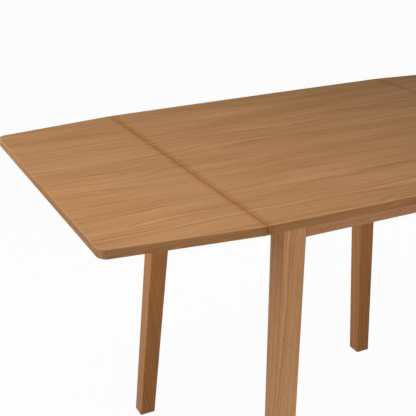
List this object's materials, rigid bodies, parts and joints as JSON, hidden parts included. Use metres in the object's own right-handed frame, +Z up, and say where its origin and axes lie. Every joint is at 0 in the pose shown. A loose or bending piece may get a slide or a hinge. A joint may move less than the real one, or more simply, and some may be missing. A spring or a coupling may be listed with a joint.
{
  "type": "drop leaf table",
  "caption": "Square oak dining table on splayed tapered legs, with a tapered drop leaf at each end carried on sliding bars.",
  "frame": {"origin": "on the floor, under the middle of the top", "axes": "+X along the table from the left leaf to the right leaf, +Y across it towards the back, parallel to the hinge lines, +Z up"},
  "size_m": [1.206, 0.7042, 0.75],
  "materials": {
    "oak_top": "straight-grained oak veneer, satin lacquer, grain along X",
    "oak_legs": "solid oak, satin lacquer",
    "oak_frame": "solid oak aprons, satin lacquer",
    "hidden_wood": "plain planed hardwood",
    "steel": "zinc-plated steel",
    "hinge_steel": "plated steel hinge plate",
    "glide": "brown plastic glide"
  },
  "bodies": {
    "frame": {"apron_back": "oak_frame", "apron_front": "oak_frame", "bearer_left": "hidden_wood", "bearer_right": "hidden_wood", "bearer_screws": "steel", "bolt_nuts": "steel", "bolt_washers": "steel", "centre_top": "oak_top", "corner_block_back_left": "hidden_wood", "corner_block_back_right": "hidden_wood", "corner_block_front_left": "hidden_wood", "corner_block_front_right": "hidden_wood", "corner_block_screws": "steel", "end_apron_left": "oak_frame", "end_apron_right": "oak_frame", "foot_glides": "glide", "frame_dowels": "hidden_wood", "hanger_bolts": "steel", "hinge_fixed_plates_left": "hinge_steel", "hinge_fixed_plates_right": "hinge_steel", "hinge_fixed_screws_left": "steel", "hinge_fixed_screws_right": "steel", "hinge_pins_left": "steel", "hinge_pins_right": "steel", "leg_back_left": "oak_legs", "leg_back_right": "oak_legs", "leg_front_left": "oak_legs", "leg_front_right": "oak_legs", "top_bracket_screws": "steel", "top_brackets": "steel"},
    "left_leaf": {"hinge_leaf_plates_left": "hinge_steel", "hinge_leaf_screws_left": "steel", "leaf_left": "oak_top"},
    "right_leaf": {"hinge_leaf_plates_right": "hinge_steel", "hinge_leaf_screws_right": "steel", "leaf_right": "oak_top"},
    "left_front_bar": {"bar_left_front": "hidden_wood", "bar_stop_left_front": "hidden_wood"},
    "left_back_bar": {"bar_left_back": "hidden_wood", "bar_stop_left_back": "hidden_wood"},
    "right_front_bar": {"bar_right_front": "hidden_wood", "bar_stop_right_front": "hidden_wood"},
    "right_back_bar": {"bar_right_back": "hidden_wood", "bar_stop_right_back": "hidden_wood"}
  },
  "joints": [
    {"name": "left_leaf_fold", "type": "hinge", "parent": "frame", "child": "left_leaf", "pos_m": [-0.35, 0, 0.7305], "axis": [0, 1, 0], "range_deg": [-90, 0]},
    {"name": "right_leaf_fold", "type": "hinge", "parent": "frame", "child": "right_leaf", "pos_m": [0.35, 0, 0.7305], "axis": [0, -1, 0], "range_deg": [-90, 0]},
    {"name": "left_front_bar_slide", "type": "slide", "parent": "frame", "child": "left_front_bar", "axis": [-1, 0, 0], "range_m": [0, 0.2]},
    {"name": "left_back_bar_slide", "type": "slide", "parent": "frame", "child": "left_back_bar", "axis": [-1, 0, 0], "range_m": [0, 0.2]},
    {"name": "right_front_bar_slide", "type": "slide", "parent": "frame", "child": "right_front_bar", "axis": [1, 0, 0], "range_m": [0, 0.2]},
    {"name": "right_back_bar_slide", "type": "slide", "parent": "frame", "child": "right_back_bar", "axis": [1, 0, 0], "range_m": [0, 0.2]}
  ]
}
